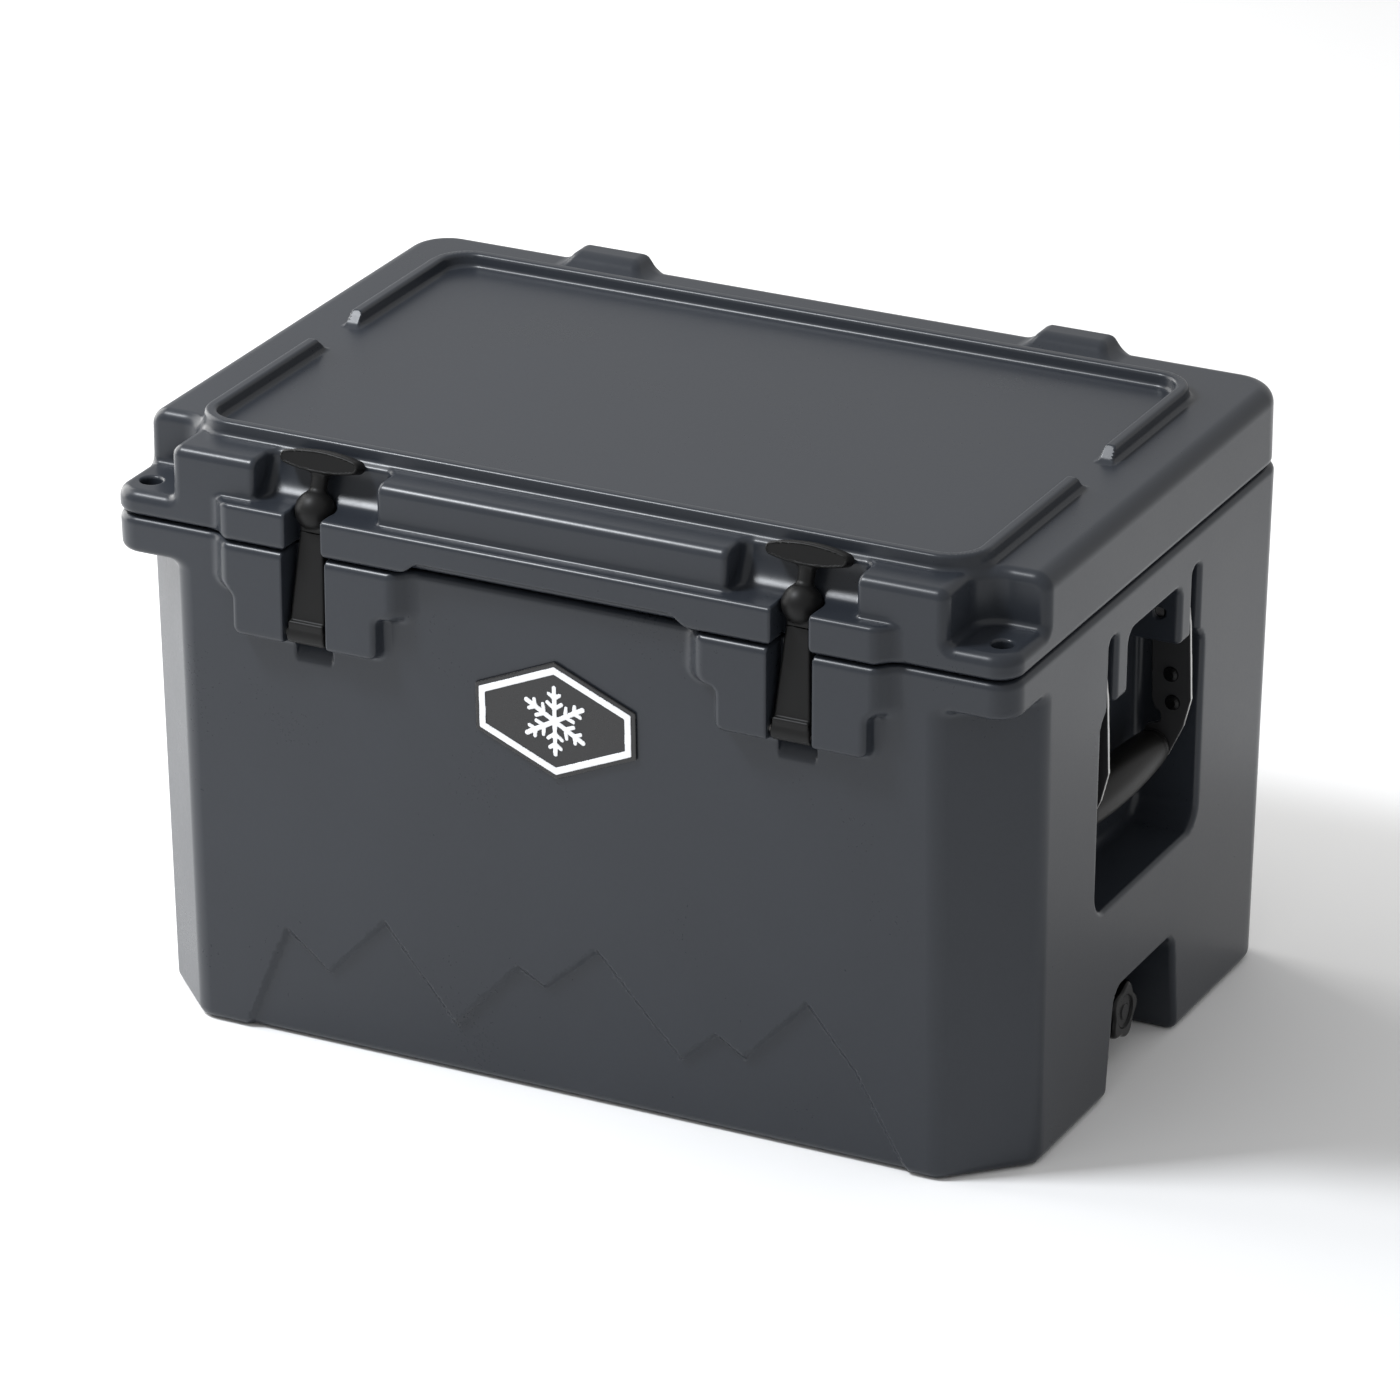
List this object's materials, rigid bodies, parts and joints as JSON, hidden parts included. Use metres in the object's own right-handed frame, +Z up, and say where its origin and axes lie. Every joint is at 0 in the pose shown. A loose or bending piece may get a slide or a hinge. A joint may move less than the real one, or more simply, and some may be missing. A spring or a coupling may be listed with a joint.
{
  "type": "hard cooler",
  "caption": "Hard insulated cooler with a hinged lid, rubber T-latches, fold-down side handles and a screw-in drain plug.",
  "frame": {"origin": "bottom centre of the bounding box", "axes": "+X to the side that holds the drain, -Y to the front with the latches, +Z up"},
  "size_m": [0.71, 0.493, 0.466],
  "materials": {
    "rotomolded_shell": "fine-grained rotationally moulded polyethylene, charcoal",
    "liner_plastic": "smooth polyethylene inner skin",
    "insulating_foam": "rigid polyurethane foam",
    "gasket_rubber": "soft black seal",
    "latch_rubber": "matte black moulded rubber",
    "pin_steel": "bare stainless steel",
    "coated_steel": "black powder coat with bare cut edges",
    "black_plastic": "black moulded plastic",
    "grip_plastic": "satin black moulded grip",
    "badge_black": "glossy black plate",
    "badge_white": "printed white face"
  },
  "bodies": {
    "tub": {"tub_shell": "rotomolded_shell", "tub_liner": "liner_plastic", "tub_foam": "insulating_foam", "drain_tube": "black_plastic", "badge_plate": "badge_black", "badge_symbol": "badge_white", "hinge_pin_left": "pin_steel", "hinge_pin_right": "pin_steel", "latch_pin_left": "pin_steel", "latch_pin_right": "pin_steel", "handle_pin_left_front": "pin_steel", "handle_pin_left_back": "pin_steel", "handle_pin_right_front": "pin_steel", "handle_pin_right_back": "pin_steel"},
    "lid": {"lid_shell": "rotomolded_shell", "lid_liner": "liner_plastic", "lid_foam": "insulating_foam", "lid_gasket": "gasket_rubber"},
    "latch_left": {"latch_strap_left": "latch_rubber"},
    "latch_pull_left": {"latch_head_left": "latch_rubber"},
    "latch_right": {"latch_strap_right": "latch_rubber"},
    "latch_pull_right": {"latch_head_right": "latch_rubber"},
    "handle_left": {"handle_arm_left_front": "coated_steel", "handle_arm_left_back": "coated_steel", "handle_rod_left": "pin_steel", "handle_grip_left": "grip_plastic", "handle_rivet_left_front_1": "coated_steel", "handle_rivet_left_front_2": "coated_steel", "handle_rivet_left_back_1": "coated_steel", "handle_rivet_left_back_2": "coated_steel"},
    "handle_right": {"handle_arm_right_front": "coated_steel", "handle_arm_right_back": "coated_steel", "handle_rod_right": "pin_steel", "handle_grip_right": "grip_plastic", "handle_rivet_right_front_1": "coated_steel", "handle_rivet_right_front_2": "coated_steel", "handle_rivet_right_back_1": "coated_steel", "handle_rivet_right_back_2": "coated_steel"},
    "drain_travel": {"drain_seal": "gasket_rubber"},
    "drain_knob": {"drain_plug": "black_plastic"}
  },
  "joints": [
    {"name": "lid_hinge", "type": "hinge", "parent": "tub", "child": "lid", "pos_m": [0, 0.2375, 0.3795], "axis": [-1, 0, 0], "range_deg": [0, 95]},
    {"name": "latch_swing_left", "type": "hinge", "parent": "tub", "child": "latch_left", "pos_m": [-0.1912, -0.2375, 0.3315], "axis": [1, 0, 0], "range_deg": [0, 160]},
    {"name": "latch_stretch_left", "type": "slide", "parent": "latch_left", "child": "latch_pull_left", "axis": [0, 0, 1], "range_m": [0, 0.012], "stiffness_N_per_m": 1500, "deforming": ["latch_strap_left", "latch_head_left"]},
    {"name": "latch_swing_right", "type": "hinge", "parent": "tub", "child": "latch_right", "pos_m": [0.1912, -0.2375, 0.3315], "axis": [1, 0, 0], "range_deg": [0, 160]},
    {"name": "latch_stretch_right", "type": "slide", "parent": "latch_right", "child": "latch_pull_right", "axis": [0, 0, 1], "range_m": [0, 0.012], "stiffness_N_per_m": 1500, "deforming": ["latch_strap_right", "latch_head_right"]},
    {"name": "handle_swing_left", "type": "hinge", "parent": "tub", "child": "handle_left", "pos_m": [-0.337, 0.0115, 0.337], "axis": [0, 1, 0], "range_deg": [0, 95]},
    {"name": "handle_swing_right", "type": "hinge", "parent": "tub", "child": "handle_right", "pos_m": [0.337, 0.0115, 0.337], "axis": [0, -1, 0], "range_deg": [0, 95]},
    {"name": "drain_plug_travel", "type": "slide", "parent": "tub", "child": "drain_travel", "axis": [1, 0, 0], "range_m": [0, 0.009]},
    {"name": "drain_plug_turn", "type": "hinge", "parent": "drain_travel", "child": "drain_knob", "pos_m": [0.3124, 0.0145, 0.04], "axis": [1, 0, 0], "range_deg": [0, 1110]}
  ],
  "couplings": [
    {"joint": "drain_plug_turn", "follows": "drain_plug_travel", "rad_per_m": 2094.4}
  ]
}
